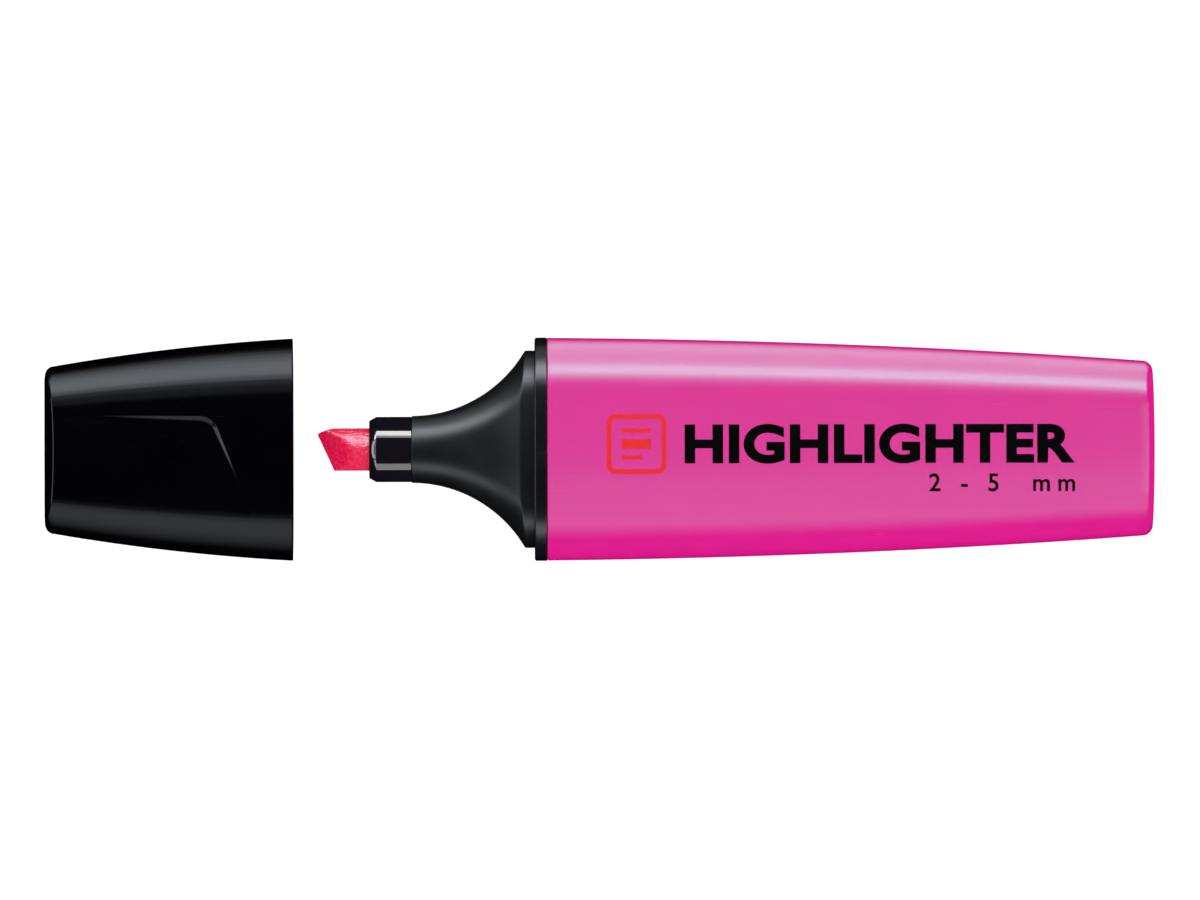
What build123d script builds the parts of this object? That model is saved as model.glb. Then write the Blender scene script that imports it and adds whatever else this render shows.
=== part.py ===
"""Highlighter pen, lying on its broad face with the cap pulled off in line with the barrel.

The parts are drawn about the pen's long axis: X runs from the nib to the barrel's closed end,
x = 0 is the front face of the ring that the cap closes against, Y is across the broad face and Z
is the thickness. place() then moves every part so that the row's origin is at the middle of the
footprint, on the surface the pen lies on.
"""
import os
from math import degrees, radians, sqrt, tan

from build123d import *

# Widths and thicknesses are halves, measured from the pen's long axis. Millimetres throughout.
RING_HALF_WIDTH = 13.5
RING_HALF_THICK = 8.5
RING_LENGTH = 1.53

# Radii of the tangent arcs of the flattened oval, at the ring's width. They scale with the width.
CROWN_RADIUS = 60.0
SIDE_RADIUS = 14.0
CORNER_RADIUS = 7.7

# Barrel: bowed taper towards a crowned closed end.
BARREL_FRONT_HALF_WIDTH = 13.46
BARREL_FRONT_HALF_THICK = 8.46
BARREL_END_X = 74.84
BARREL_START_SLOPE = 0.008
BARREL_PLAN_BOW = 1130.0
BARREL_SIDE_BOW = 2950.0
BARREL_END_CROWN = 260.0
BARREL_END_FILLET = 1.1
BARREL_WALL = 1.15
BARREL_END_WALL = 1.55
RIB_THICK = 0.9
RIB_BITE = 0.4
RIB_FRONT_X = 11.0

# Front section: flare, cap seat, ring and the skirt that plugs the barrel.
NECK_X = -14.86
NECK_RADIUS = 4.05
FLARE_PLAN_RADIUS = 15.85
FLARE_SIDE_RADIUS = 31.5
FLARE_END_X = 0.6
NECK_OVALITY = 0.04
SEAT_INSET = 1.57
SEAT_EDGE_REGION = (-3.0, -0.1)
SEAT_EDGE_FILLET = 0.13
RING_EDGE_FILLET = 0.25
RING_GROOVE = 0.15
SKIRT_END_X = 10.0
SKIRT_WALL = 1.1
SKIRT_CLEARANCE = 0.02
FRONT_WALL = 1.2
FUNNEL_FRONT_X = -10.0
WELL_FRONT_X = -0.5

# Polished collar and the stem that holds the nib.
COLLAR_FRONT_X = -19.98
COLLAR_RADIUS = 3.945
COLLAR_CHAMFER_LENGTH = 0.8
COLLAR_CHAMFER_DEPTH = 0.55
STEM_RADIUS = 3.15
STEM_END_X = -5.5
AIR_CHANNEL_WIDTH = 0.7
AIR_CHANNEL_DEPTH = 0.3
AIR_CHANNELS = 4

# Felt nib: a round rod with a slanted two-sided chisel.
NIB_RADIUS = 2.575
NIB_TOP_CORNER = (-26.25, 1.9)
NIB_BOTTOM_CORNER = (-24.2, -2.57)
NIB_TOP_ROUND_X = -24.3
NIB_TOP_ROUND_RADIUS = 3.5
NIB_LAND = 0.7
NIB_WEDGE_ANGLE = 38.0
NIB_HEEL = 0.3
NIB_BACK_X = 6.0
NIB_BACK_CHAMFER = 0.4

# Ink reservoir and its film.
RESERVOIR_FRONT_X = 2.0
RESERVOIR_END_X = 66.0
RESERVOIR_RADIUS = 5.55
FILM_THICK = 0.15

# Cap, pulled off: distances are measured from its mouth towards its closed end.
CAP_MOUTH_X = -29.2
CAP_LENGTH = 30.0
CAP_MOUTH_HALF_WIDTH = 13.43
CAP_MOUTH_HALF_THICK = 8.43
CAP_PLAN_SLOPE = 0.055
CAP_PLAN_BOW = 245.0
CAP_SIDE_SLOPE = 0.04
CAP_SIDE_BOW = 430.0
CAP_END_LAND = 4.1
CAP_END_BEVEL_SLOPE = 0.48
CAP_END_FILLET = 0.5
CAP_WALL = 1.35
CAP_END_WALL = 1.3
CAP_LEAD_IN = 0.2
CAP_RIB_MOUTH = 15.6
SEAL_CLEARANCE = 0.05
SEAL_WALL = 0.85
SEAL_MOUTH = 15.3
SEAL_FLOOR = 27.6

# Finger recess on each broad face: corners by distance from the closed end and height on the face.
RECESS_START = (2.2, 4.28)
RECESS_CORNER = (20.4, 4.05)
RECESS_END = (25.4, -8.2)
RECESS_CORNER_RADIUS = 2.5
RECESS_DEPTH = 0.65
RECESS_FOOT_RADIUS = 0.45
RECESS_OVERRUN = 1.6
RECESS_TOOL_FOOT = 2.0
RECESS_TOOL_HEIGHT = 6.0

# Lofts run through this many sections. Cutting tools run PAST the faces that they cut, and a tool
# that crosses the whole pen is WIDE.
TAPER_STATIONS = 5
FLARE_STATIONS = 9
PAST = 1.0
WIDE = 40.0

CAP_END_X = CAP_MOUTH_X - CAP_LENGTH
ROW_SHIFT = Pos(-(CAP_END_X + BARREL_END_X) / 2, 0, RING_HALF_THICK)


def across(x):
    """Plane across the pen at x: its first axis is +Y, its second +Z."""
    return Plane(origin=(x, 0, 0), x_dir=(0, 1, 0), z_dir=(1, 0, 0))


def tangent_oval(x, half_width, half_thick, crown, side, corner):
    """Flattened oval at x: a crown arc on each broad face, side arcs and corners, all tangent."""
    crown_centre = Vector(0, half_thick - crown)
    side_centre = Vector(half_width - side, 0)
    line = side_centre - crown_centre
    reach, drop = crown - corner, side - corner
    along = (reach**2 - drop**2 + line.length**2) / (2 * line.length)
    off = sqrt(reach**2 - along**2)
    unit = line.normalized()
    corner_centre = crown_centre + unit * along + Vector(-unit.Y, unit.X) * -off
    to_crown = (corner_centre - crown_centre).normalized()
    to_side = (corner_centre - side_centre).normalized()
    top = corner_centre + to_crown * corner
    flank = corner_centre + to_side * corner
    middle = corner_centre + (to_crown + to_side).normalized() * corner

    def mirrored(point, y_sign, z_sign):
        return (point.X * y_sign, point.Y * z_sign)

    arcs = []
    for y_sign, z_sign in ((1, 1), (-1, 1), (-1, -1), (1, -1)):
        ends = [mirrored(flank, y_sign, z_sign), mirrored(top, y_sign, z_sign)]
        turn = ends if y_sign * z_sign > 0 else ends[::-1]
        arcs.append(ThreePointArc(turn[0], mirrored(middle, y_sign, z_sign), turn[1]))
        if y_sign * z_sign > 0:
            crest, start = (0, half_thick * z_sign), mirrored(top, y_sign, z_sign)
            arcs.append(ThreePointArc(start, crest, mirrored(top, -y_sign, z_sign)))
        else:
            crest, start = (half_width * y_sign, 0), mirrored(flank, y_sign, z_sign)
            arcs.append(ThreePointArc(start, crest, mirrored(flank, y_sign, -z_sign)))
    return across(x) * make_face(Curve() + arcs)


def oval(x, half_width, half_thick, inset=0.0):
    """The pen's flattened oval at x, or the outline that far inside it."""
    size = half_width / RING_HALF_WIDTH
    return tangent_oval(
        x,
        half_width - inset,
        half_thick - inset,
        CROWN_RADIUS * size - inset,
        SIDE_RADIUS * size - inset,
        CORNER_RADIUS * size - inset,
    )


def span(first, last, count):
    """Evenly spaced values from first to last."""
    return [first + (last - first) * i / (count - 1) for i in range(count)]


def rod(radius, first_x, last_x):
    """Round rod along the pen's axis."""
    return extrude(across(first_x) * Circle(radius), last_x - first_x)


def slab_cross(thick, first_x, last_x):
    """Two crossed slabs along the axis, one flat and one upright, wide enough to pass every wall."""
    length, middle = last_x - first_x, (first_x + last_x) / 2
    return Pos(middle, 0, 0) * (Box(length, WIDE, thick) + Box(length, thick, WIDE))


# --- barrel ---------------------------------------------------------------------------------------


def barrel_sizes(x):
    """Half-width and half-thickness of the barrel at x."""
    run = x - RING_LENGTH
    width = BARREL_FRONT_HALF_WIDTH - BARREL_START_SLOPE * run - run**2 / (2 * BARREL_PLAN_BOW)
    thick = BARREL_FRONT_HALF_THICK - BARREL_START_SLOPE * run - run**2 / (2 * BARREL_SIDE_BOW)
    return width, thick


def barrel_body(last_x, inset=0.0):
    """Solid taper from the ring's rear face to last_x, or the one that far inside it."""
    return loft([oval(x, *barrel_sizes(x), inset) for x in span(RING_LENGTH, last_x, TAPER_STATIONS)])


def make_barrel():
    crowned_end = Pos(BARREL_END_X - BARREL_END_CROWN, 0, 0) * Cylinder(BARREL_END_CROWN, WIDE)
    outer = barrel_body(BARREL_END_X + PAST) & crowned_end
    rear_edges = outer.faces().sort_by(Axis.X)[-1].edges()
    outer = fillet(rear_edges, BARREL_END_FILLET)
    front_edges = outer.faces().sort_by(Axis.X)[0].edges()
    outer = chamfer(front_edges, RING_GROOVE)
    inner_end = BARREL_END_X - BARREL_END_WALL
    hollow = barrel_body(inner_end, BARREL_WALL)
    ribs = slab_cross(RIB_THICK, RIB_FRONT_X, inner_end + RIB_BITE)
    ribs &= barrel_body(inner_end + RIB_BITE, BARREL_WALL / 2)
    ribs -= rod(RESERVOIR_RADIUS + FILM_THICK, RIB_FRONT_X - PAST, RESERVOIR_END_X)
    return outer - hollow + ribs


# --- front section --------------------------------------------------------------------------------


def flare_section(x, inset=0.0):
    """Section of the flare at x, from a circle at the neck to the cap seat's oval."""
    run = x - NECK_X
    width = NECK_RADIUS + FLARE_PLAN_RADIUS - sqrt(FLARE_PLAN_RADIUS**2 - run**2)
    thick = NECK_RADIUS + FLARE_SIDE_RADIUS - sqrt(FLARE_SIDE_RADIUS**2 - run**2)
    spread = (width - NECK_RADIUS) / (RING_HALF_WIDTH - SEAT_INSET - NECK_RADIUS)

    def blend(neck, seat):
        return neck + (seat - SEAT_INSET - neck) * spread - inset

    return tangent_oval(
        x,
        width - inset,
        thick - inset,
        blend(NECK_RADIUS * (1 + NECK_OVALITY), CROWN_RADIUS),
        blend(NECK_RADIUS * (1 + NECK_OVALITY), SIDE_RADIUS),
        blend(NECK_RADIUS * (1 - NECK_OVALITY), CORNER_RADIUS),
    )


def flare_body(first_x, last_x, inset=0.0):
    return loft([flare_section(x, inset) for x in span(first_x, last_x, FLARE_STATIONS)])


def ring_prism(first_x, last_x, inset=0.0):
    """Prism with the ring's outline, or the one that far inside it."""
    return extrude(oval(first_x, RING_HALF_WIDTH, RING_HALF_THICK, inset), last_x - first_x)


def is_seat_edge(edge):
    """Whether an edge is part of the crease between the flare and the cap seat."""
    first_x, last_x = SEAT_EDGE_REGION
    box = edge.bounding_box()
    return box.min.X > first_x and box.max.X < last_x


def make_front_section():
    flare = flare_body(NECK_X, FLARE_END_X) & ring_prism(NECK_X - PAST, 0, SEAT_INSET)
    flare = fillet(flare.edges().filter_by(is_seat_edge), SEAT_EDGE_FILLET)
    ring = ring_prism(0, RING_LENGTH)
    ring = fillet(ring.faces().sort_by(Axis.X)[0].edges(), RING_EDGE_FILLET)
    ring = chamfer(ring.faces().sort_by(Axis.X)[-1].edges(), RING_GROOVE)
    skirt = barrel_body(SKIRT_END_X, BARREL_WALL + SKIRT_CLEARANCE)
    funnel = flare_body(FUNNEL_FRONT_X, FLARE_END_X, FRONT_WALL)
    funnel &= ring_prism(FUNNEL_FRONT_X - PAST, 0, SEAT_INSET + FRONT_WALL)
    well = ring_prism(WELL_FRONT_X, RING_LENGTH + PAST, BARREL_WALL + SKIRT_WALL)
    skirt_hollow = barrel_body(SKIRT_END_X + PAST, BARREL_WALL + SKIRT_WALL)
    neck_bore = rod(STEM_RADIUS, NECK_X - PAST, 0)
    return flare + ring + skirt - funnel - well - skirt_hollow - neck_bore


# --- nib holder and nib ---------------------------------------------------------------------------


def make_nib_holder():
    chamfer_end = COLLAR_FRONT_X + COLLAR_CHAMFER_LENGTH
    profile = Polyline(
        (COLLAR_FRONT_X, 0),
        (COLLAR_FRONT_X, COLLAR_RADIUS - COLLAR_CHAMFER_DEPTH),
        (chamfer_end, COLLAR_RADIUS),
        (NECK_X, COLLAR_RADIUS),
        (NECK_X, STEM_RADIUS),
        (STEM_END_X, STEM_RADIUS),
        (STEM_END_X, 0),
        close=True,
    )
    holder = revolve(make_face(profile), Axis.X)
    length = STEM_END_X - COLLAR_FRONT_X
    channel = Pos((COLLAR_FRONT_X + STEM_END_X) / 2, 0, NIB_RADIUS / 2) * Box(
        length, AIR_CHANNEL_WIDTH, NIB_RADIUS + 2 * AIR_CHANNEL_DEPTH
    )
    holder -= rod(NIB_RADIUS, COLLAR_FRONT_X, STEM_END_X)
    for i in range(AIR_CHANNELS):
        holder -= Rot(45 + 360 * i / AIR_CHANNELS, 0, 0) * channel
    return holder


def make_nib():
    top, bottom = Vector(*NIB_TOP_CORNER), Vector(*NIB_BOTTOM_CORNER)
    outline = [
        Polyline(
            NIB_TOP_CORNER,
            NIB_BOTTOM_CORNER,
            (NIB_BOTTOM_CORNER[0] + NIB_HEEL, -NIB_RADIUS),
            (NIB_BACK_X, -NIB_RADIUS),
            (NIB_BACK_X, NIB_RADIUS),
            (NIB_TOP_ROUND_X, NIB_RADIUS),
        ),
        RadiusArc((NIB_TOP_ROUND_X, NIB_RADIUS), NIB_TOP_CORNER, -NIB_TOP_ROUND_RADIUS),
    ]
    plan = extrude(make_face(Curve() + outline), 2 * NIB_RADIUS, both=True)
    felt = plan & rod(NIB_RADIUS, NIB_TOP_CORNER[0] - PAST, NIB_BACK_X)
    felt = chamfer(felt.faces().sort_by(Axis.X)[-1].edges(), NIB_BACK_CHAMFER)

    edge = (bottom - top).normalized()
    back = Vector(-edge.Y, edge.X)
    wedge_run = NIB_RADIUS * 2
    wedge_half = NIB_LAND / 2 + wedge_run * tan(radians(NIB_WEDGE_ANGLE))
    rear = WIDE
    wedge = Plane(origin=top, x_dir=back, z_dir=edge) * make_face(
        Polyline(
            (0, -NIB_LAND / 2),
            (0, NIB_LAND / 2),
            (wedge_run, wedge_half),
            (rear, wedge_half),
            (rear, -wedge_half),
            (wedge_run, -wedge_half),
            close=True,
        )
    )
    return felt & extrude(wedge, WIDE / 2, both=True)


# --- reservoir ------------------------------------------------------------------------------------


def make_ink_reservoir():
    return rod(RESERVOIR_RADIUS, RESERVOIR_FRONT_X, RESERVOIR_END_X) - rod(
        NIB_RADIUS, RESERVOIR_FRONT_X, NIB_BACK_X
    )


def make_reservoir_wrap():
    return rod(RESERVOIR_RADIUS + FILM_THICK, RESERVOIR_FRONT_X, RESERVOIR_END_X) - rod(
        RESERVOIR_RADIUS, RESERVOIR_FRONT_X, RESERVOIR_END_X
    )


# --- cap ------------------------------------------------------------------------------------------


def cap_sizes(depth):
    """Half-width and half-thickness of the cap at a distance from its mouth."""
    width = CAP_MOUTH_HALF_WIDTH - CAP_PLAN_SLOPE * depth - depth**2 / (2 * CAP_PLAN_BOW)
    thick = CAP_MOUTH_HALF_THICK - CAP_SIDE_SLOPE * depth - depth**2 / (2 * CAP_SIDE_BOW)
    return width, thick


def cap_body(first_depth, last_depth, inset=0.0):
    """Solid taper between two distances from the cap's mouth, or the one that far inside it."""
    depths = span(first_depth, last_depth, TAPER_STATIONS)
    return loft([oval(CAP_MOUTH_X - depth, *cap_sizes(depth), inset) for depth in depths])


def face_point(corner):
    """Point on the cap's upper broad face, from its distance to the closed end and its height."""
    from_end, height = corner
    depth = CAP_LENGTH - from_end
    width, thick = cap_sizes(depth)
    crown = CROWN_RADIUS * width / RING_HALF_WIDTH
    return Vector(CAP_END_X + from_end, height, thick - crown + sqrt(crown**2 - height**2))


def recess_tool(body):
    """What the finger recess takes away: the corner of a triangle of the face, tipped inwards.

    The face turns about the line between the recess's two ends, so it sinks only at the corner.
    """
    start, corner, end = (face_point(p) for p in (RECESS_START, RECESS_CORNER, RECESS_END))
    chord = (end - start).normalized()
    arm = (corner - start).cross(chord).length
    floor = body.rotate(Axis(start, chord), -degrees(RECESS_DEPTH / arm))
    along, down = (corner - start).normalized(), (end - corner).normalized()
    first, last = start - along * RECESS_OVERRUN, end + down * RECESS_OVERRUN
    plan = make_face(Polyline(*[(p.X, p.Y) for p in (first, corner, last)], close=True))
    sharp = plan.vertices().sort_by_distance((corner.X, corner.Y, 0))[0]
    plan = fillet(sharp, RECESS_CORNER_RADIUS)
    tool = extrude(Pos(0, 0, start.Z - RECESS_TOOL_FOOT) * plan, RECESS_TOOL_HEIGHT) - floor
    foot = tool.faces().sort_by(Axis.Z)[0].edges().sort_by(SortBy.LENGTH)[:-1]
    return fillet(foot, RECESS_FOOT_RADIUS)


def bevelled_end():
    """Block that leaves a flat land on the cap's closed end and a steep bevel above and below it."""
    rise = RING_HALF_THICK + PAST
    back = CAP_END_X + (rise - CAP_END_LAND) * CAP_END_BEVEL_SLOPE
    profile = Polyline(
        (CAP_END_X, -CAP_END_LAND),
        (CAP_END_X, CAP_END_LAND),
        (back, rise),
        (CAP_MOUTH_X + PAST, rise),
        (CAP_MOUTH_X + PAST, -rise),
        (back, -rise),
        close=True,
    )
    return extrude(Plane.XZ * make_face(profile), WIDE / 2, both=True)


def make_cap_shell():
    outer = cap_body(0, CAP_LENGTH)
    tool = recess_tool(outer)
    outer = outer & bevelled_end()
    outer = fillet(outer.faces().sort_by(Axis.X)[0].edges(), CAP_END_FILLET)
    outer -= tool
    outer -= Rot(180, 0, 0) * tool
    inner_end = CAP_LENGTH - CAP_END_WALL
    hollow = cap_body(-PAST, inner_end, CAP_WALL)
    ribs = slab_cross(RIB_THICK, CAP_MOUTH_X - inner_end - RIB_BITE, CAP_MOUTH_X - CAP_RIB_MOUTH)
    ribs &= cap_body(CAP_RIB_MOUTH - PAST, inner_end + RIB_BITE, CAP_WALL / 2)
    ribs -= rod(seal_outer_radius(), CAP_MOUTH_X - inner_end, CAP_MOUTH_X)
    shell = outer - hollow
    mouth = shell.faces().sort_by(Axis.X)[-1]
    return chamfer(mouth.inner_wires()[0].edges(), CAP_LEAD_IN) + ribs


def seal_outer_radius():
    return COLLAR_RADIUS + SEAL_CLEARANCE + SEAL_WALL


def make_cap_inner_seal():
    closed_end = CAP_MOUTH_X - CAP_LENGTH + CAP_END_WALL
    cup = rod(seal_outer_radius(), closed_end, CAP_MOUTH_X - SEAL_MOUTH)
    bore = rod(COLLAR_RADIUS + SEAL_CLEARANCE, CAP_MOUTH_X - SEAL_FLOOR, CAP_MOUTH_X - SEAL_MOUTH)
    return cup - bore


def place(part):
    """Move a part from the pen's own axis to the row's frame."""
    return ROW_SHIFT * part


MAKERS = {
    "barrel": make_barrel,
    "front_section": make_front_section,
    "nib_holder": make_nib_holder,
    "nib": make_nib,
    "ink_reservoir": make_ink_reservoir,
    "reservoir_wrap": make_reservoir_wrap,
    "cap_shell": make_cap_shell,
    "cap_inner_seal": make_cap_inner_seal,
}

os.makedirs("parts", exist_ok=True)
for name, make in MAKERS.items():
    export_step(place(make()), f"parts/{name}.step")
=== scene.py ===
"""Looks of the highlighter pen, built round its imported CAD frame.

Shapes are worked out in millimetres about the pen's long axis: x = 0 is the front face of the ring
that the cap closes against, y runs across the broad face and z through the thickness. to_row()
brings them to the frame's metres. Places and outer sizes come from the CAD nodes' boxes.
"""
import math

import bmesh
import bpy
import numpy as np
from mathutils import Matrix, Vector, noise


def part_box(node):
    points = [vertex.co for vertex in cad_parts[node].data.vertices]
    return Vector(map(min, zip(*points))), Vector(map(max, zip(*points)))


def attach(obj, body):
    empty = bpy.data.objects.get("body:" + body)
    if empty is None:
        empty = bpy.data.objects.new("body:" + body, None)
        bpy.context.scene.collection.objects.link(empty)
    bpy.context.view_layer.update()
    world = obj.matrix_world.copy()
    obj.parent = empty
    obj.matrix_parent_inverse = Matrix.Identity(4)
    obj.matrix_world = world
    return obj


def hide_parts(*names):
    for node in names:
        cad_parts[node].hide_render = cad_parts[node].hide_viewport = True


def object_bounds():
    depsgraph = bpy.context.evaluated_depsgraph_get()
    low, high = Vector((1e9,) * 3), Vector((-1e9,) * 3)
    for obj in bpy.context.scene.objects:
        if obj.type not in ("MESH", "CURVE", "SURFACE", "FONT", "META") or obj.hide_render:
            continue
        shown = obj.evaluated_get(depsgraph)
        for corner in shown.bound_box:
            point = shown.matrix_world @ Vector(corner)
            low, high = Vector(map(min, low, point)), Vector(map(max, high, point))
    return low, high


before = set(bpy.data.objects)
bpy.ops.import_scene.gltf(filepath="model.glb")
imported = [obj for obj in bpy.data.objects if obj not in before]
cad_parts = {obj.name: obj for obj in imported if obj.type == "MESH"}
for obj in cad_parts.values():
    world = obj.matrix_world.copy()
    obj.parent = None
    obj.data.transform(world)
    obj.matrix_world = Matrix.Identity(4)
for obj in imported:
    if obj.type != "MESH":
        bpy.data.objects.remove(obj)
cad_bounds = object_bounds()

MM = 0.001

# --- sizes read from the frame, in millimetres ------------------------------------------------------


def node_box(node):
    low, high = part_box(node)
    return np.array(low) / MM, np.array(high) / MM


RING_LENGTH = 1.53
BARREL_LOW, BARREL_HIGH = node_box("barrel")
FRONT_LOW, FRONT_HIGH = node_box("front_section")
COLLAR_LOW, COLLAR_HIGH = node_box("nib_holder")
NIB_LOW, NIB_HIGH = node_box("nib")
CAP_LOW, CAP_HIGH = node_box("cap_shell")
SEAL_LOW, SEAL_HIGH = node_box("cap_inner_seal")
FILM_LOW, FILM_HIGH = node_box("reservoir_wrap")

AXIS_X = BARREL_LOW[0] - RING_LENGTH
AXIS_Z = (FRONT_LOW[2] + FRONT_HIGH[2]) / 2
RING_HALF_WIDTH = (FRONT_HIGH[1] - FRONT_LOW[1]) / 2
RING_HALF_THICK = (FRONT_HIGH[2] - FRONT_LOW[2]) / 2
BARREL_END_X = BARREL_HIGH[0] - AXIS_X
NECK_X = FRONT_LOW[0] - AXIS_X
SKIRT_END_X = FRONT_HIGH[0] - AXIS_X
COLLAR_FRONT_X = COLLAR_LOW[0] - AXIS_X
COLLAR_RADIUS = (COLLAR_HIGH[1] - COLLAR_LOW[1]) / 2
STEM_END_X = COLLAR_HIGH[0] - AXIS_X
NIB_TIP_X = NIB_LOW[0] - AXIS_X
NIB_BACK_X = NIB_HIGH[0] - AXIS_X
NIB_RADIUS = (NIB_HIGH[2] - NIB_LOW[2]) / 2
CAP_MOUTH_X = CAP_HIGH[0] - AXIS_X
CAP_LENGTH = CAP_HIGH[0] - CAP_LOW[0]
SEAL_MOUTH = CAP_HIGH[0] - SEAL_HIGH[0]
SEAL_END = CAP_HIGH[0] - SEAL_LOW[0]
SEAL_RADIUS = (SEAL_HIGH[1] - SEAL_LOW[1]) / 2
FILM_RADIUS = (FILM_HIGH[1] - FILM_LOW[1]) / 2
RESERVOIR_END_X = node_box("ink_reservoir")[1][0] - AXIS_X

# --- shape of the mouldings, in millimetres ---------------------------------------------------------

CROWN_RADIUS = 60.0
SIDE_RADIUS = 14.0
CORNER_RADIUS = 7.7

BARREL_FRONT_HALF_WIDTH = 13.46
BARREL_FRONT_HALF_THICK = 8.46
BARREL_START_SLOPE = 0.008
BARREL_PLAN_BOW = 1130.0
BARREL_SIDE_BOW = 2950.0
BARREL_END_CROWN = 260.0
BARREL_END_FILLET = 1.1
BARREL_WALL = 1.15
BARREL_END_WALL = 1.55

NECK_RADIUS = 4.05
FLARE_PLAN_RADIUS = 15.85
FLARE_SIDE_RADIUS = 31.5
SEAT_INSET = 1.57
SEAT_EDGE = 0.13
RING_EDGE = 0.25
RING_GROOVE = 0.15
SKIRT_WALL = 1.1
FRONT_WALL = 1.2
STEM_RADIUS = 3.15
FLARE_BORE_X = -10.0

CAP_MOUTH_HALF_WIDTH = 13.43
CAP_MOUTH_HALF_THICK = 8.43
CAP_PLAN_SLOPE = 0.055
CAP_PLAN_BOW = 245.0
CAP_SIDE_SLOPE = 0.04
CAP_SIDE_BOW = 430.0
CAP_END_LAND = 4.1
CAP_END_BEVEL_SLOPE = 0.48
CAP_END_BLEND = 0.3
CAP_FACE_EDGE = 0.28
CAP_SIDE_EDGE = 1.1
CAP_EDGE_CHANGE = (6.0, 9.0)
CAP_WALL = 1.35
CAP_END_WALL = 1.3
CAP_RIB_MOUTH = 15.6
BARREL_RIB_FRONT_X = 11.0
RIB_THICK = 0.9
RIB_BITE = 0.3
CLEARANCE = 0.02

RECESS_START = (1.2, 4.3)
RECESS_CORNER = (20.4, 4.05)
RECESS_END = (25.4, -8.2)
RECESS_CORNER_RADIUS = 2.5
RECESS_DEPTH = 0.65
RECESS_FOOT_RADIUS = 1.6
RECESS_ROWS_FROM = 4.7
RECESS_RINGS_FROM = 5.1


def to_row(points):
    """Pen-axis millimetres to row-frame metres."""
    return (np.asarray(points, float) + (AXIS_X, 0, AXIS_Z)) * MM


def smooth_step(value, low, high):
    """0 below low, 1 above high, with a smooth change between them."""
    u = np.clip((value - low) / (high - low), 0, 1)
    return u * u * (3 - 2 * u)


# --- meshes -----------------------------------------------------------------------------------------


def new_object(name, verts, faces):
    mesh = bpy.data.meshes.new(name)
    mesh.from_pydata([tuple(v) for v in verts], [], faces)
    mesh.validate()
    obj = bpy.data.objects.new(name, mesh)
    bpy.context.scene.collection.objects.link(obj)
    smooth_outward(obj)
    return obj


def smooth_outward(obj):
    """Consistent outward normals and smooth shading."""
    bm = bmesh.new()
    bm.from_mesh(obj.data)
    bmesh.ops.recalc_face_normals(bm, faces=bm.faces)
    for face in bm.faces:
        face.smooth = True
    bm.to_mesh(obj.data)
    bm.free()


def skin(name, rings, closed=False):
    """Closed surface over rings of equal count: capped at both ends, or joined into a torus."""
    rings = [np.asarray(r, float) for r in rings]
    count = len(rings[0])
    verts = list(np.concatenate(rings))
    faces = []
    pairs = len(rings) if closed else len(rings) - 1
    for i in range(pairs):
        a, b = i * count, (i + 1) % len(rings) * count
        for k in range(count):
            n = (k + 1) % count
            faces.append((a + k, a + n, b + n, b + k))
    if not closed:
        for ring, start in ((rings[0], 0), (rings[-1], (len(rings) - 1) * count)):
            verts.append(ring.mean(0))
            for k in range(count):
                faces.append((start + k, start + (k + 1) % count, len(verts) - 1))
    return new_object(name, to_row(verts), faces)


def tangent_arcs(half_width, half_thick, crown, side, corner):
    """Centres of a flattened oval's arcs and the directions in which they meet, as (y, z) pairs."""
    crown_centre = np.array((0.0, half_thick - crown))
    side_centre = np.array((half_width - side, 0.0))
    line = side_centre - crown_centre
    reach, drop = crown - corner, side - corner
    length = np.linalg.norm(line)
    along = (reach**2 - drop**2 + length**2) / (2 * length)
    off = math.sqrt(reach**2 - along**2)
    unit = line / length
    corner_centre = crown_centre + unit * along + np.array((unit[1], -unit[0])) * off
    to_crown = math.atan2(*(corner_centre - crown_centre)[::-1])
    to_side = math.atan2(*(corner_centre - side_centre)[::-1])
    return crown_centre, side_centre, corner_centre, to_crown, to_side


def arc(centre, radius, start, end, count):
    angles = np.linspace(start, end, count + 1)[:-1]
    return np.stack((centre[0] + radius * np.cos(angles), centre[1] + radius * np.sin(angles)), 1)


def oval_loop(half_width, half_thick, crown, side, corner, rows=(), counts=(6, 16, 12)):
    """(y, z) points round a flattened oval, from +Y through +Z; rows are fixed heights on the crown."""
    crown_c, side_c, corner_c, to_crown, to_side = tangent_arcs(
        half_width, half_thick, crown, side, corner
    )
    per_side, per_corner, per_crown = counts
    quarter = [
        arc(side_c, side, 0, to_side, per_side),
        arc(corner_c, corner, to_side, to_crown, per_corner),
    ]
    edge = crown_c[0] + crown * math.cos(to_crown)
    first = rows[0] if len(rows) else 0.0
    heights = np.concatenate((np.linspace(edge, first, per_crown + 1)[:-1], rows))
    crest = crown_c[1] + np.sqrt(crown**2 - heights**2)
    quarter.append(np.stack((heights, crest), 1))
    quarter = np.concatenate(quarter)
    top = (0.0, half_thick)
    mirrored = quarter[1:][::-1] * (-1, 1)
    upper = np.concatenate((quarter, [top], mirrored))
    lower = np.concatenate(([(-half_width, 0.0)], (upper[1:] * (-1, -1))))
    return np.concatenate((upper, lower))


def pen_oval(x, half_width, half_thick, inset=0.0, rows=(), scale=1.0):
    """Ring of the pen's flattened oval at x, inset by a wall and shrunk about the axis."""
    size = half_width / RING_HALF_WIDTH
    loop = oval_loop(
        half_width - inset,
        half_thick - inset,
        CROWN_RADIUS * size - inset,
        SIDE_RADIUS * size - inset,
        CORNER_RADIUS * size - inset,
        rows,
    )
    return np.column_stack((np.full(len(loop), float(x)), loop * scale))


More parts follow.
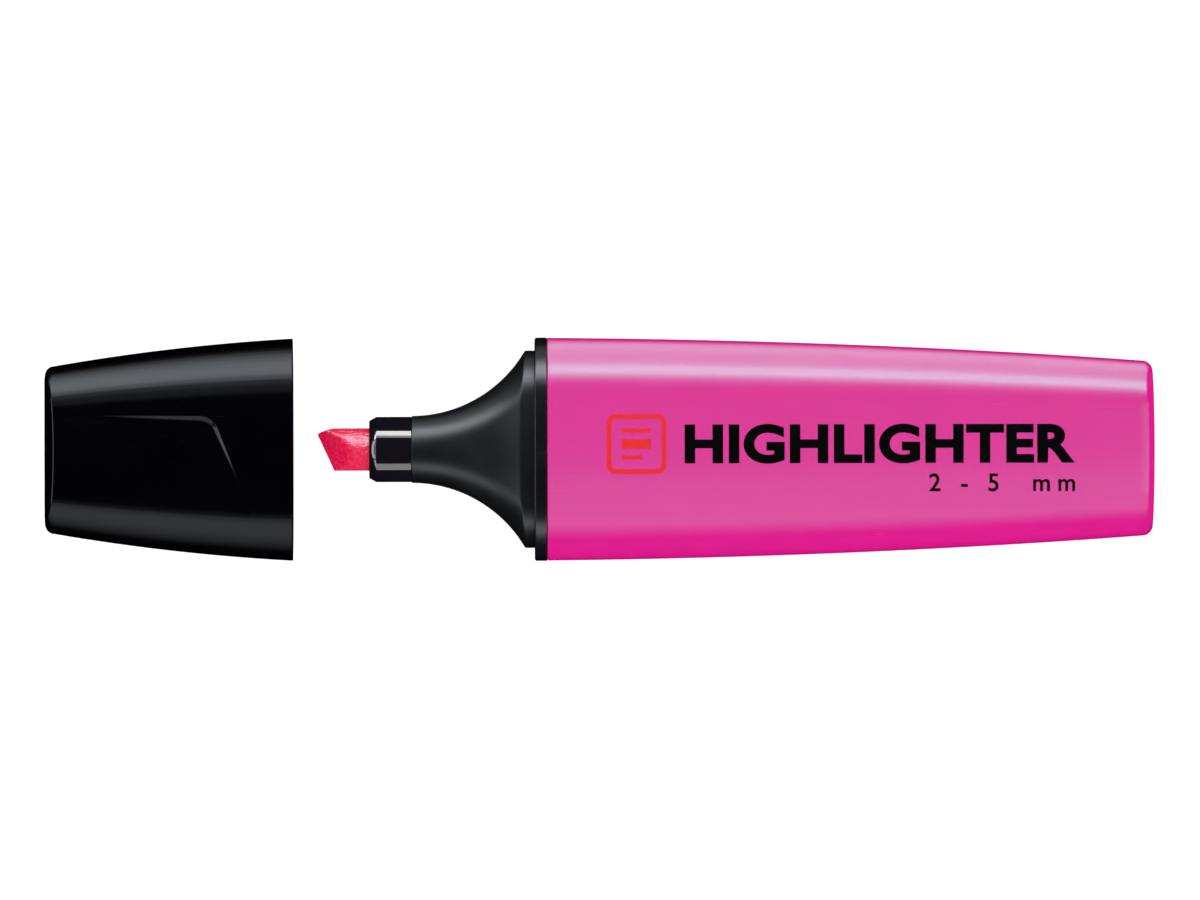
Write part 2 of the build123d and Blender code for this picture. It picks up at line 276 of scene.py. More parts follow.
def edge_round(radius, steps=4):
    """(advance, inset) pairs of a quarter-round edge, from the side it starts on to the end face."""
    angles = np.linspace(0, math.pi / 2, steps + 1)
    return [(radius * math.sin(a), radius * (1 - math.cos(a))) for a in angles]


# Sizes of the rings that close a flat end towards its middle.
FACE_SHRINK = (0.97, 0.85, 0.6, 0.3, 0.05)


# --- barrel -----------------------------------------------------------------------------------------


def barrel_sizes(x):
    run = x - RING_LENGTH
    width = BARREL_FRONT_HALF_WIDTH - BARREL_START_SLOPE * run - run**2 / (2 * BARREL_PLAN_BOW)
    thick = BARREL_FRONT_HALF_THICK - BARREL_START_SLOPE * run - run**2 / (2 * BARREL_SIDE_BOW)
    return width, thick


def crown_end(ring):
    """Bows the barrel's closed end across its width."""
    ring = ring.copy()
    ramp = smooth_step(ring[:, 0], BARREL_END_X - 9, BARREL_END_X - 2)
    ring[:, 0] -= ring[:, 1] ** 2 / (2 * BARREL_END_CROWN) * ramp
    return ring


def make_barrel():
    """Cup-shaped shell: its outer and inner rings each close at the far end and meet at the mouth."""
    outer = []
    for advance, inset in edge_round(RING_GROOVE)[::-1]:
        x = RING_LENGTH + RING_GROOVE - advance
        outer.append(pen_oval(x, *barrel_sizes(x), inset))
    start, stop = RING_LENGTH + 0.35, BARREL_END_X - BARREL_END_FILLET
    for x in np.linspace(start, stop, 90):
        outer.append(pen_oval(x, *barrel_sizes(x)))
    for advance, inset in edge_round(BARREL_END_FILLET, 8)[1:]:
        x = stop + advance
        outer.append(pen_oval(x, *barrel_sizes(x), inset))
    end = barrel_sizes(BARREL_END_X)
    for scale in FACE_SHRINK:
        outer.append(pen_oval(BARREL_END_X, *end, BARREL_END_FILLET, scale=scale))

    inner = []
    inner_end = BARREL_END_X - BARREL_END_WALL
    for scale in FACE_SHRINK[::-1]:
        inner.append(pen_oval(inner_end, *barrel_sizes(inner_end), BARREL_WALL + 0.3, scale=scale))
    for x in np.linspace(inner_end - 0.2, RING_LENGTH, 30):
        inner.append(pen_oval(x, *barrel_sizes(x), BARREL_WALL))
    return skin("barrel_shell", [crown_end(ring) for ring in outer[::-1] + inner[::-1]])


# --- front moulding: flare, cap seat, ring ----------------------------------------------------------


def polar(loop, angles):
    """Radius of a closed (y, z) loop in each direction."""
    own = np.unwrap(np.arctan2(loop[:, 1], loop[:, 0]))
    radius = np.hypot(loop[:, 0], loop[:, 1])
    own = np.concatenate((own - 2 * math.pi, own, own + 2 * math.pi))
    return np.interp(angles, own, np.tile(radius, 3))


# Points per side, corner and crown of loops that are measured, not meshed.
FINE = (60, 160, 120)


def flare_loop(x, inset=0.0):
    run = x - NECK_X
    width = NECK_RADIUS + FLARE_PLAN_RADIUS - math.sqrt(FLARE_PLAN_RADIUS**2 - run**2)
    thick = NECK_RADIUS + FLARE_SIDE_RADIUS - math.sqrt(FLARE_SIDE_RADIUS**2 - run**2)
    opened = (width - NECK_RADIUS) / (RING_HALF_WIDTH - SEAT_INSET - NECK_RADIUS)
    radii = [
        neck + (seat - SEAT_INSET - neck) * opened - inset
        for neck, seat in (
            (NECK_RADIUS * 1.04, CROWN_RADIUS),
            (NECK_RADIUS * 1.04, SIDE_RADIUS),
            (NECK_RADIUS * 0.96, CORNER_RADIUS),
        )
    ]
    return oval_loop(width - inset, thick - inset, *radii, counts=FINE)


def ring_loop(inset, counts=FINE):
    return oval_loop(
        RING_HALF_WIDTH - inset,
        RING_HALF_THICK - inset,
        CROWN_RADIUS - inset,
        SIDE_RADIUS - inset,
        CORNER_RADIUS - inset,
        counts=counts,
    )


def spun(x, radius, angles):
    """Ring of points in the given directions; x and radius may each vary round it."""
    return np.column_stack(
        (np.broadcast_to(x, angles.shape), radius * np.cos(angles), radius * np.sin(angles))
    )


def even_directions(loop, count):
    """Directions whose points are evenly spaced along a closed (y, z) loop."""
    closed = np.concatenate((loop, loop[:1]))
    steps = np.concatenate(([0], np.cumsum(np.linalg.norm(np.diff(closed, axis=0), axis=1))))
    where = np.linspace(0, steps[-1], count + 1)[:-1]
    y, z = (np.interp(where, steps, closed[:, i]) for i in (0, 1))
    return np.unwrap(np.arctan2(z, y))


def seat_crease(angles):
    """Where the flare meets the cap seat in each direction."""
    seat = polar(ring_loop(SEAT_INSET), angles)
    stations = np.linspace(-4, 0.4, 89)
    reach = np.array([polar(flare_loop(x), angles) for x in stations])
    return np.array([np.interp(seat[k], reach[:, k], stations) for k in range(len(angles))]), seat


def flare_ring(angles, x_of_angle, table):
    """Ring on the flare whose x differs from one direction to the next."""
    stations, reach = table
    radius = np.array([np.interp(x_of_angle[k], stations, reach[:, k]) for k in range(len(angles))])
    return spun(x_of_angle, radius, angles)


def make_front_moulding():
    angles = even_directions(ring_loop(SEAT_INSET), 192)
    crease, seat = seat_crease(angles)
    stations = np.linspace(NECK_X, 0.4, 241)
    table = stations, np.array([polar(flare_loop(x), angles) for x in stations])
    neck_round = 0.06

    def outline(inset):
        return polar(ring_loop(inset), angles)

    def barrel_radius(x, inset):
        return polar(pen_oval(x, *barrel_sizes(x), inset)[:, 1:], angles)

    rings = [spun(NECK_X, np.full_like(angles, STEM_RADIUS), angles)]
    rings.append(spun(NECK_X, np.full_like(angles, NECK_RADIUS - neck_round), angles))
    for u in np.linspace(0, 1, 61)[:-1]:
        x = (NECK_X + neck_round) + (crease - SEAT_EDGE - NECK_X - neck_round) * u
        rings.append(flare_ring(angles, x, table))
    before = flare_ring(angles, crease - SEAT_EDGE, table)
    corner = spun(crease, seat, angles)
    after = spun(np.minimum(crease + SEAT_EDGE, -0.05), seat, angles)
    for u in (0.0, 0.25, 0.5, 0.75, 1.0):
        rings.append(before * (1 - u) ** 2 + corner * 2 * u * (1 - u) + after * u**2)
    for u in (0.3, 0.7, 0.97):
        rings.append(spun(crease * (1 - u), seat, angles))
    rings.append(spun(0.0, seat, angles))

    for inset in (SEAT_INSET - 0.06, RING_EDGE + 0.1):
        rings.append(spun(0.0, outline(inset), angles))
    for advance, inset in edge_round(RING_EDGE, 5)[::-1]:
        rings.append(spun(RING_EDGE - advance, outline(inset), angles))
    for x in (RING_EDGE + 0.08, RING_LENGTH - RING_GROOVE - 0.08):
        rings.append(spun(x, outline(0.0), angles))
    for advance, inset in edge_round(RING_GROOVE, 3):
        rings.append(spun(RING_LENGTH - RING_GROOVE + advance, outline(inset), angles))

    skirt_inset = BARREL_WALL + CLEARANCE
    for x in (RING_LENGTH, RING_LENGTH + 0.1, SKIRT_END_X - 0.1, SKIRT_END_X):
        rings.append(spun(x, barrel_radius(x, skirt_inset), angles))
    for x in (SKIRT_END_X, RING_LENGTH, 0.3):
        rings.append(spun(x, barrel_radius(x, skirt_inset + SKIRT_WALL), angles))
    stop = outline(SEAT_INSET + FRONT_WALL)
    for x in np.linspace(-0.4, FLARE_BORE_X, 24):
        rings.append(spun(x, np.minimum(polar(flare_loop(x, FRONT_WALL), angles), stop), angles))
    rings.append(spun(FLARE_BORE_X - 0.2, np.full_like(angles, STEM_RADIUS), angles))
    return skin("front_moulding", rings, closed=True)


# --- collar, seal: turned shapes --------------------------------------------------------------------


def turned(name, profile, count=128, notch=None):
    """Closed turned shape from (x, radius) points; notch changes the radius by direction."""
    angles = np.linspace(0, 2 * math.pi, count + 1)[:-1]
    rings = []
    for x, radius in profile:
        radii = np.full(count, float(radius))
        if notch:
            radii = notch(x, radii, angles)
        rings.append(spun(x, radii, angles))
    return skin(name, rings, closed=True)


def rounded(profile, radius, steps=3):
    """Profile with every corner replaced by a small curve."""
    points = [np.array(p, float) for p in profile]
    out = []
    for i, here in enumerate(points):
        before, after = points[i - 1], points[(i + 1) % len(points)]
        reach = min(radius, np.linalg.norm(before - here) / 2.5, np.linalg.norm(after - here) / 2.5)
        a = here + (before - here) / np.linalg.norm(before - here) * reach
        b = here + (after - here) / np.linalg.norm(after - here) * reach
        for u in np.linspace(0, 1, steps + 1):
            out.append(a * (1 - u) ** 2 + here * 2 * u * (1 - u) + b * u**2)
    return out


def make_collar():
    chamfer_length, chamfer_depth = 0.85, 0.48
    bore, channel_depth, channel_width, channels = NIB_RADIUS + CLEARANCE, 0.3, 0.7, 4
    profile = [
        (COLLAR_FRONT_X, bore),
        (COLLAR_FRONT_X, COLLAR_RADIUS - chamfer_depth),
        (COLLAR_FRONT_X + chamfer_length, COLLAR_RADIUS),
        (NECK_X - 0.01, COLLAR_RADIUS),
        (NECK_X - 0.01, STEM_RADIUS - CLEARANCE),
        (STEM_END_X, STEM_RADIUS - CLEARANCE),
        (STEM_END_X, bore),
    ]

    def notch(x, radii, angles):
        inside = radii < bore + 0.08
        turn = (angles - math.pi / 4) % (2 * math.pi / channels)
        offset = np.minimum(turn, 2 * math.pi / channels - turn) * bore
        cut = np.clip((channel_width / 2 - offset) / 0.12 + 0.5, 0, 1) * channel_depth
        return np.where(inside, radii + cut, radii)

    return turned("nib_collar", rounded(profile, 0.07), 256, notch)


def make_cap_seal():
    bore = COLLAR_RADIUS + 0.05
    floor = CAP_MOUTH_X - 27.6
    mouth, end = CAP_MOUTH_X - SEAL_MOUTH, CAP_MOUTH_X - SEAL_END
    profile = [
        (floor, 0.05),
        (floor, bore),
        (mouth - 0.3, bore),
        (mouth, bore + 0.25),
        (mouth, SEAL_RADIUS),
        (end, SEAL_RADIUS),
        (end, 0.05),
    ]
    return turned("cap_seal_cup", rounded(profile, 0.12), 96)


# --- nib --------------------------------------------------------------------------------------------


NIB_LAND = 0.7
NIB_WEDGE_SLOPE = math.tan(math.radians(38))
NIB_TOP_Y = 1.9
NIB_EDGE_SLANT = 2.05
NIB_TOP_ROUND_Y = 1.7
NIB_SHOWN_LENGTH = 7.0
NIB_FACET_BLEND = 0.55
NIB_TOP_SWEEP = 1.9
NIB_POINTS = 220
NIB_RINGS = 100
FIBRE_HEIGHT = 0.022


def soft_min(a, b, blend):
    """The smaller of two values, with a rounded change from one to the other."""
    mix = np.clip(0.5 + 0.5 * (b - a) / blend, 0, 1)
    return b * (1 - mix) + a * mix - blend * mix * (1 - mix)


def fibre_height(point):
    """Felt surface: short fibres that run along the rod, and finer pits between them."""
    x, y, z = point
    strands = noise.noise(Vector((x * 1.3, y * 6.5, z * 6.5)))
    pits = noise.noise(Vector((x * 5.0 + 40, y * 9.0, z * 9.0)))
    return FIBRE_HEIGHT * (strands + 0.8 * pits)


def make_nib():
    """Felt rod cut to a slanted two-sided chisel, with a fibrous surface."""
    edge_top = np.array((NIB_TIP_X, NIB_TOP_Y))
    edge_bottom = np.array((NIB_TIP_X + NIB_EDGE_SLANT, -NIB_RADIUS))
    edge = (edge_bottom - edge_top) / np.linalg.norm(edge_bottom - edge_top)
    back = np.array((-edge[1], edge[0]))
    angles = np.linspace(0, 2 * math.pi, NIB_POINTS + 1)[:-1]
    height = NIB_RADIUS * np.cos(angles)
    thick = NIB_RADIUS * np.abs(np.sin(angles))
    over = np.maximum(height - NIB_TOP_ROUND_Y, 0) / (NIB_RADIUS - NIB_TOP_ROUND_Y)
    cut_x = np.interp(-height, (-edge_top[1], NIB_RADIUS), (edge_top[0], edge_bottom[0]))
    cut_x += NIB_TOP_SWEEP * over**2

    rings = []
    for u in np.linspace(0, 1, NIB_RINGS):
        x = cut_x + NIB_SHOWN_LENGTH * u**1.3
        depth = (x - edge_top[0]) * back[0] + (height - edge_top[1]) * back[1]
        wedge = NIB_LAND / 2 + np.maximum(depth, 0) * NIB_WEDGE_SLOPE
        blend = NIB_FACET_BLEND * smooth_step(thick, 0.0, 1.2) + 0.02
        half = np.clip(soft_min(thick, wedge, blend), 0, thick)
        ring = np.column_stack((x, height, half * np.sign(np.sin(angles))))
        lift = np.array([fibre_height(point) for point in ring])
        radial = ring[:, 1:] / np.maximum(np.linalg.norm(ring[:, 1:], axis=1), 0.5)[:, None]
        ring[:, 1:] += radial * (lift - FIBRE_HEIGHT)[:, None]
        ring[:, 0] += (1 - u) * lift
        rings.append(ring)
    rings.append(spun(NIB_BACK_X, np.full_like(angles, NIB_RADIUS - 2 * FIBRE_HEIGHT), angles))
    return skin("nib_felt", rings)


# --- cap --------------------------------------------------------------------------------------------


def cap_sizes(depth):
    width = CAP_MOUTH_HALF_WIDTH - CAP_PLAN_SLOPE * depth - depth**2 / (2 * CAP_PLAN_BOW)
    thick = CAP_MOUTH_HALF_THICK - CAP_SIDE_SLOPE * depth - depth**2 / (2 * CAP_SIDE_BOW)
    return width, thick


def recess_depth(from_end, height):
    """How far the finger recess sinks the broad face at each point."""
    start, corner, end = (np.array(p) for p in (RECESS_START, RECESS_CORNER, RECESS_END))
    point = np.stack((from_end, height), -1)
    chord = (end - start) / np.linalg.norm(end - start)
    normal = np.array((-chord[1], chord[0]))
    tilt = RECESS_DEPTH / ((corner - start) @ normal)
    floor = (point - start) @ normal * tilt

    along = (corner - start) / np.linalg.norm(corner - start)
    down = (end - corner) / np.linalg.norm(end - corner)
    below = np.array((along[1], -along[0]))
    inward = np.array((down[1], -down[0]))
    d_top = (point - corner) @ below
    d_side = (point - corner) @ inward
    radius = RECESS_CORNER_RADIUS
    basis = np.array((below, inward))
    centre = corner + np.linalg.solve(basis, np.full(2, radius))
    arm = point - centre
    in_corner = ((arm @ along) > 0) & ((arm @ -down) > 0)
    inside = np.where(in_corner, radius - np.linalg.norm(arm, axis=-1), np.minimum(d_top, d_side))

    foot = RECESS_FOOT_RADIUS
    floor = np.clip(floor, 0, None)
    wall = np.sqrt(foot**2 - (foot - floor) ** 2)
    gap = np.clip(wall - inside, 0, wall)
    lift = foot - np.sqrt(foot**2 - gap**2)
    return np.where(inside > 0, np.clip(floor - lift, 0, None), 0)


def sink_recess(ring):
    """Presses the recess into both broad faces: the lower one is the upper one turned half round."""
    ring = ring.copy()
    from_end = ring[:, 0] - (CAP_MOUTH_X - CAP_LENGTH)
    side = np.sign(ring[:, 2])
    on_face = np.abs(ring[:, 2]) > 3
    ring[:, 2] -= side * np.where(on_face, recess_depth(from_end, side * ring[:, 1]), 0)
    return ring


def cap_end_ring(inset, rows, scale=1.0):
    """Ring on the cap's closed end: a flat land, steep bevels, crisp broad edges and round sides."""
    depth = CAP_LENGTH - CAP_SIDE_EDGE + inset
    ring = pen_oval(0, *cap_sizes(depth), inset, rows, scale)
    change = smooth_step(np.abs(ring[:, 1]), *CAP_EDGE_CHANGE)
    edge = CAP_FACE_EDGE + (CAP_SIDE_EDGE - CAP_FACE_EDGE) * change
    left = edge - np.minimum(inset, edge)
    beyond = np.abs(ring[:, 2]) - CAP_END_LAND
    bevel = (beyond + np.hypot(beyond, CAP_END_BLEND)) / 2 * CAP_END_BEVEL_SLOPE
    ring[:, 0] = CAP_MOUTH_X - CAP_LENGTH + bevel + edge - np.sqrt(edge**2 - left**2)
    return ring


def make_cap():
    rows = tuple(np.linspace(RECESS_ROWS_FROM, 0.0, 40)[:-1])

    def ring(depth, inset=0.0, scale=1.0):
        return pen_oval(CAP_MOUTH_X - depth, *cap_sizes(depth), inset, rows, scale)

    mouth_round = 0.12
    outer = [ring(mouth_round - a, i) for a, i in edge_round(mouth_round, 3)[::-1]]
    outer += [ring(d) for d in np.linspace(mouth_round + 0.1, RECESS_RINGS_FROM - 0.1, 16)]
    outer += [sink_recess(ring(d)) for d in np.linspace(RECESS_RINGS_FROM, CAP_LENGTH - 1.6, 150)]
    # Closer together where the broad faces' crisp edge turns.
    insets = (0.0, 0.01, 0.03, 0.07, 0.12, 0.2, 0.28, 0.45, 0.7, CAP_SIDE_EDGE)
    outer += [cap_end_ring(inset, rows) for inset in insets]
    outer += [cap_end_ring(CAP_SIDE_EDGE, rows, scale) for scale in FACE_SHRINK]
    inner_end = CAP_LENGTH - CAP_END_WALL
    inner = [ring(0, CAP_WALL - 0.2), ring(0.03, CAP_WALL - 0.17), ring(0.2, CAP_WALL)]
    inner += [ring(d, CAP_WALL) for d in np.linspace(0.4, inner_end - 0.1, 40)]
    inner += [ring(inner_end, CAP_WALL + 0.1, s) for s in (1.0,) + FACE_SHRINK]
    return skin("cap_body", outer[::-1] + inner)


# --- ribs inside the mouldings ----------------------------------------------------------------------


def make_ribs(name, stations, half_sizes, inner_radius, wall):
    """Four thin ribs from a round core to a moulding's wall, at the sides and on the broad faces."""
    objs = []
    for index, (axis, sign) in enumerate((("y", 1), ("y", -1), ("z", 1), ("z", -1))):
        rings = []
        for x in stations:
            width, thickness = half_sizes(x)
            far = (width if axis == "y" else thickness) - wall + RIB_BITE
            half = RIB_THICK / 2
            square = ((inner_radius, -half), (far, -half), (far, half), (inner_radius, half))
            if axis == "y":
                rings.append([(x, a * sign, b) for a, b in square])
            else:
                rings.append([(x, b, a * sign) for a, b in square])
        objs.append(skin(f"{name}_{index + 1}", rings))
    return objs


def make_cap_ribs():
    stations = CAP_MOUTH_X - np.linspace(CAP_RIB_MOUTH, CAP_LENGTH - CAP_END_WALL + 0.2, 12)

    def sizes(x):
        return cap_sizes(CAP_MOUTH_X - x)

    return make_ribs("cap_rib", stations, sizes, SEAL_RADIUS - CLEARANCE, CAP_WALL)


def make_barrel_ribs():
    stations = np.linspace(BARREL_RIB_FRONT_X, RESERVOIR_END_X, 16)
    return make_ribs("barrel_rib", stations, barrel_sizes, FILM_RADIUS + CLEARANCE, BARREL_WALL)


# --- print on the barrel ----------------------------------------------------------------------------

# Boxes are x and y ranges on the broad face; styles are the letters' boldness and spacing.
PRINT_WORD = "HIGHLIGHTER"
PRINT_WORD_STYLE = (0.042, 1.06)
PRINT_WORD_BOX = (18.1, 65.2, -1.8, 3.0)
PRINT_NOTE = "2 - 5  mm"
PRINT_NOTE_STYLE = (0.014, 1.5)
PRINT_NOTE_BOX = (47.6, 65.2, -5.2, -3.0)
PRINT_MARK_BOX = (8.7, 15.9, -3.0, 4.2)
PRINT_PROUD = 0.012
PRINT_ROOT = 0.05
PRINT_CUT_X = 3.0
PRINT_CUT_Y = 0.4


def barrel_face(x, y):
    """Height of the barrel's broad face above the pen's axis."""
    width, thick = barrel_sizes(x)
    crown = CROWN_RADIUS * width / RING_HALF_WIDTH
    return thick - crown + np.sqrt(crown**2 - y**2)


def laid_on_barrel(name, curve, box, underside):
    """Thin printed layer of a flat curve's shape, fitted to a box on the broad face it lies on."""
    carrier = bpy.data.objects.new(name, curve)
    bpy.context.scene.collection.objects.link(carrier)
    graph = bpy.context.evaluated_depsgraph_get()
    mesh = bpy.data.meshes.new_from_object(carrier.evaluated_get(graph))
    bpy.data.objects.remove(carrier)
    bm = bmesh.new()
    bm.from_mesh(mesh)
    bpy.data.meshes.remove(mesh)
    bmesh.ops.remove_doubles(bm, verts=bm.verts, dist=1e-5)
    spots = np.array([v.co for v in bm.verts])
    low, high = spots.min(0), spots.max(0)
    x0, x1, y0, y1 = box
    middle = (low[2] + high[2]) / 2
    for v in bm.verts:
        x = x0 + (v.co.x - low[0]) / (high[0] - low[0]) * (x1 - x0)
        y = y0 + (v.co.y - low[1]) / (high[1] - low[1]) * (y1 - y0)
        v.co = (x, y, 1.0 if v.co.z > middle else -1.0)
    for axis, first, last, step in ((0, x0, x1, PRINT_CUT_X), (1, y0, y1, PRINT_CUT_Y)):
        for place in np.arange(first + step, last, step):
            point, normal = [0.0, 0.0, 0.0], [0.0, 0.0, 0.0]
            point[axis], normal[axis] = place, 1.0
            everything = bm.verts[:] + bm.edges[:] + bm.faces[:]
            bmesh.ops.bisect_plane(bm, geom=everything, plane_co=point, plane_no=normal)
    for v in bm.verts:
        lift = PRINT_PROUD if v.co.z > 0 else -PRINT_ROOT
        z = barrel_face(v.co.x, v.co.y) + lift
        placed = (v.co.x, -v.co.y, -z) if underside else (v.co.x, v.co.y, z)
        v.co = to_row(placed)
    bmesh.ops.recalc_face_normals(bm, faces=bm.faces)
    layer = bpy.data.meshes.new(name)
    bm.to_mesh(layer)
    bm.free()
    obj = bpy.data.objects.new(name, layer)
    bpy.context.scene.collection.objects.link(obj)
    return obj


def text_curve(words, boldness, spacing):
    curve = bpy.data.curves.new("words", "FONT")
    curve.body = words
    curve.extrude = 0.01
    curve.offset = boldness
    curve.space_character = spacing
    curve.resolution_u = 8
    return curve


def rounded_square(half, radius):
    """Corner points of a square with round corners, centred on the origin."""
    points = []
    for quarter in range(4):
        start = quarter * math.pi / 2
        turn = np.linspace(start, start + math.pi / 2, 13)
        sign = (1 if quarter in (0, 3) else -1, 1 if quarter in (0, 1) else -1)
        centre = np.array(sign) * (half - radius)
        points += [(centre[0] + radius * math.cos(a), centre[1] + radius * math.sin(a)) for a in turn]
    return points


def bar(left, right, bottom, top):
    return (left, bottom), (right, bottom), (right, top), (left, top)


def mark_curve():
    """Plain mark: a rounded frame round three lines of writing, the middle one thick."""
    curve = bpy.data.curves.new("mark", "CURVE")
    curve.dimensions = "2D"
    curve.fill_mode = "BOTH"
    curve.extrude = 0.01
    lines = (bar(-0.5, 0.5, 0.38, 0.52), bar(-0.5, 0.5, -0.16, 0.16), bar(-0.5, 0.2, -0.52, -0.38))
    for outline in (rounded_square(1.0, 0.3), rounded_square(0.84, 0.16), *lines):
        spline = curve.splines.new("POLY")
        spline.points.add(len(outline) - 1)
        for point, (x, y) in zip(spline.points, outline):
            point.co = (x, y, 0, 1)
        spline.use_cyclic_u = True
    return curve


def make_print(side, underside):
    """Word, note and mark on one broad face, each with its ink."""
    layers = (
        ("word", text_curve(PRINT_WORD, *PRINT_WORD_STYLE), PRINT_WORD_BOX, "black"),
        ("note", text_curve(PRINT_NOTE, *PRINT_NOTE_STYLE), PRINT_NOTE_BOX, "black"),
        ("mark", mark_curve(), PRINT_MARK_BOX, "red"),
    )
    return [
        (laid_on_barrel(f"print_{layer}_{side}", curve, box, underside), ink)
        for layer, curve, box, ink in layers
    ]


# --- materials --------------------------------------------------------------------------------------


def new_material(name):
    mat = bpy.data.materials.new(name)
    mat.use_nodes = True
    return mat, mat.node_tree, mat.node_tree.nodes["Principled BSDF"]


def grain(tree, size, stretch=(1, 1, 1), detail=2.0):
    """Noise with features of a size in millimetres, drawn out along the axes by stretch."""
    coords = tree.nodes.new("ShaderNodeTexCoord")
    mapping = tree.nodes.new("ShaderNodeMapping")
    mapping.inputs["Scale"].default_value = [1 / (size * MM * s) for s in stretch]
    tree.links.new(coords.outputs["Object"], mapping.inputs["Vector"])
    tex = tree.nodes.new("ShaderNodeTexNoise")
    tex.inputs["Scale"].default_value = 1.0
    tex.inputs["Detail"].default_value = detail
    tree.links.new(mapping.outputs["Vector"], tex.inputs["Vector"])
    return tex.outputs["Fac"]


def spread(tree, value, low, high, start=0.3, stop=0.7):
    """The value, which runs from start to stop, brought to run from low to high."""
    node = tree.nodes.new("ShaderNodeMapRange")
    node.inputs["From Min"].default_value = start
    node.inputs["From Max"].default_value = stop
    node.inputs["To Min"].default_value = low
    node.inputs["To Max"].default_value = high
    tree.links.new(value, node.inputs["Value"])
    return node.outputs["Result"]


def combined(tree, operation, a, b):
    node = tree.nodes.new("ShaderNodeMath")
    node.operation = operation
    tree.links.new(a, node.inputs[0])
    tree.links.new(b, node.inputs[1])
    return node.outputs["Value"]


def vary_color(tree, shader, value, first, second):
    node = tree.nodes.new("ShaderNodeMix")
    node.data_type = "RGBA"
    tree.links.new(value, node.inputs["Factor"])
    node.inputs["A"].default_value = (*first, 1)
    node.inputs["B"].default_value = (*second, 1)
    tree.links.new(node.outputs["Result"], shader.inputs["Base Color"])
    return node.outputs["Result"]


def raise_bump(tree, shader, value, height):
    """Adds relief of a height in millimetres to what the shader's normal already has."""
    node = tree.nodes.new("ShaderNodeBump")
    node.inputs["Strength"].default_value = 1.0
    node.inputs["Distance"].default_value = height * MM
    tree.links.new(value, node.inputs["Height"])
    earlier = shader.inputs["Normal"].links
    if earlier:
        tree.links.new(earlier[0].from_socket, node.inputs["Normal"])
    tree.links.new(node.outputs["Normal"], shader.inputs["Normal"])


def handling_marks(tree):
    """Fine scratches along the pen, in patches, from use: 0 on clean plastic and 1 in a scratch."""
    lines = spread(tree, grain(tree, 0.12, (60, 1, 1), 1.0), 0, 1, 0.70, 0.74)
    patches = spread(tree, grain(tree, 9.0), 0, 1, 0.50, 0.62)
    return combined(tree, "MULTIPLY", lines, patches)


def moulded_plastic(name, first, second, gloss, specular, relief, relief_size):
    """Injection-moulded plastic: gloss is the lowest and highest roughness over the surface."""
    mat, tree, shader = new_material(name)
    vary_color(tree, shader, spread(tree, grain(tree, 6.0), 0, 1), first, second)
    cloudy = spread(tree, grain(tree, 3.5, detail=4.0), *gloss)
    marks = handling_marks(tree)
    worn = spread(tree, marks, 0.0, 0.18, 0.0, 1.0)
    tree.links.new(combined(tree, "ADD", cloudy, worn), shader.inputs["Roughness"])
    shader.inputs["Specular IOR Level"].default_value = specular
    raise_bump(tree, shader, grain(tree, relief_size), relief)
    raise_bump(tree, shader, marks, -0.0015)
    return mat, shader


def barrel_plastic():
    mat, shader = moulded_plastic(
        "barrel_plastic",
        first=(0.665, 0.003, 0.245),
        second=(0.635, 0.002, 0.230),
        gloss=(0.18, 0.22),
        specular=0.25,
        relief=0.0012,
        relief_size=1.4,
    )
    shader.inputs["Specular Tint"].default_value = (0.30, 1.0, 0.93, 1)
    # Painted glow: a faint emission in the barrel's own pink brightens the whole shell, as though more
    # light fell on it.
    shader.inputs["Emission Color"].default_value = (0.70, 0.003, 0.21, 1)
    shader.inputs["Emission Strength"].default_value = 0.12
    return mat


def cap_plastic():
    mat, shader = moulded_plastic(
        "cap_plastic",
        first=(0.0011, 0.0008, 0.0026),
        second=(0.0006, 0.0004, 0.0019),
        gloss=(0.13, 0.17),
        specular=0.40,
        relief=0.0008,
        relief_size=1.1,
    )
    shader.inputs["Specular Tint"].default_value = (0.82, 0.90, 1.0, 1)
    return mat


def along_pen(tree):
    """Position along the pen's axis, in the row's metres."""
    coords = tree.nodes.new("ShaderNodeTexCoord")
    split = tree.nodes.new("ShaderNodeSeparateXYZ")
    tree.links.new(coords.outputs["Object"], split.inputs["Vector"])
    return split.outputs["X"]


# How much smoother the ring is than the flare before it.
RING_POLISH = 0.10


def matt_plastic():
    mat, shader = moulded_plastic(
        "front_matt",
        first=(0.006, 0.006, 0.009),
        second=(0.004, 0.004, 0.006),
        gloss=(0.34, 0.39),
        specular=0.62,
        relief=0.010,
        relief_size=0.16,
    )
    tree = mat.node_tree
    shader.inputs["Specular Tint"].default_value = (0.87, 0.92, 1.0, 1)
    polish = spread(tree, along_pen(tree), 0.0, RING_POLISH, AXIS_X * MM, (AXIS_X + 0.1) * MM)
    rough = shader.inputs["Roughness"].links[0].from_socket
    tree.links.new(combined(tree, "SUBTRACT", rough, polish), shader.inputs["Roughness"])
    return mat


def polished_plastic():
    mat, shader = moulded_plastic(
        "collar_polished",
        first=(0.009, 0.007, 0.012),
        second=(0.008, 0.006, 0.010),
        gloss=(0.045, 0.07),
        specular=1.0,
        relief=0.0002,
        relief_size=1.5,
    )
    shader.inputs["IOR"].default_value = 1.6
    return mat


def seal_plastic():
    mat, _ = moulded_plastic(
        "seal_plastic",
        first=(0.016, 0.016, 0.018),
        second=(0.011, 0.011, 0.013),
        gloss=(0.38, 0.46),
        specular=0.5,
        relief=0.001,
        relief_size=0.6,
    )
    return mat


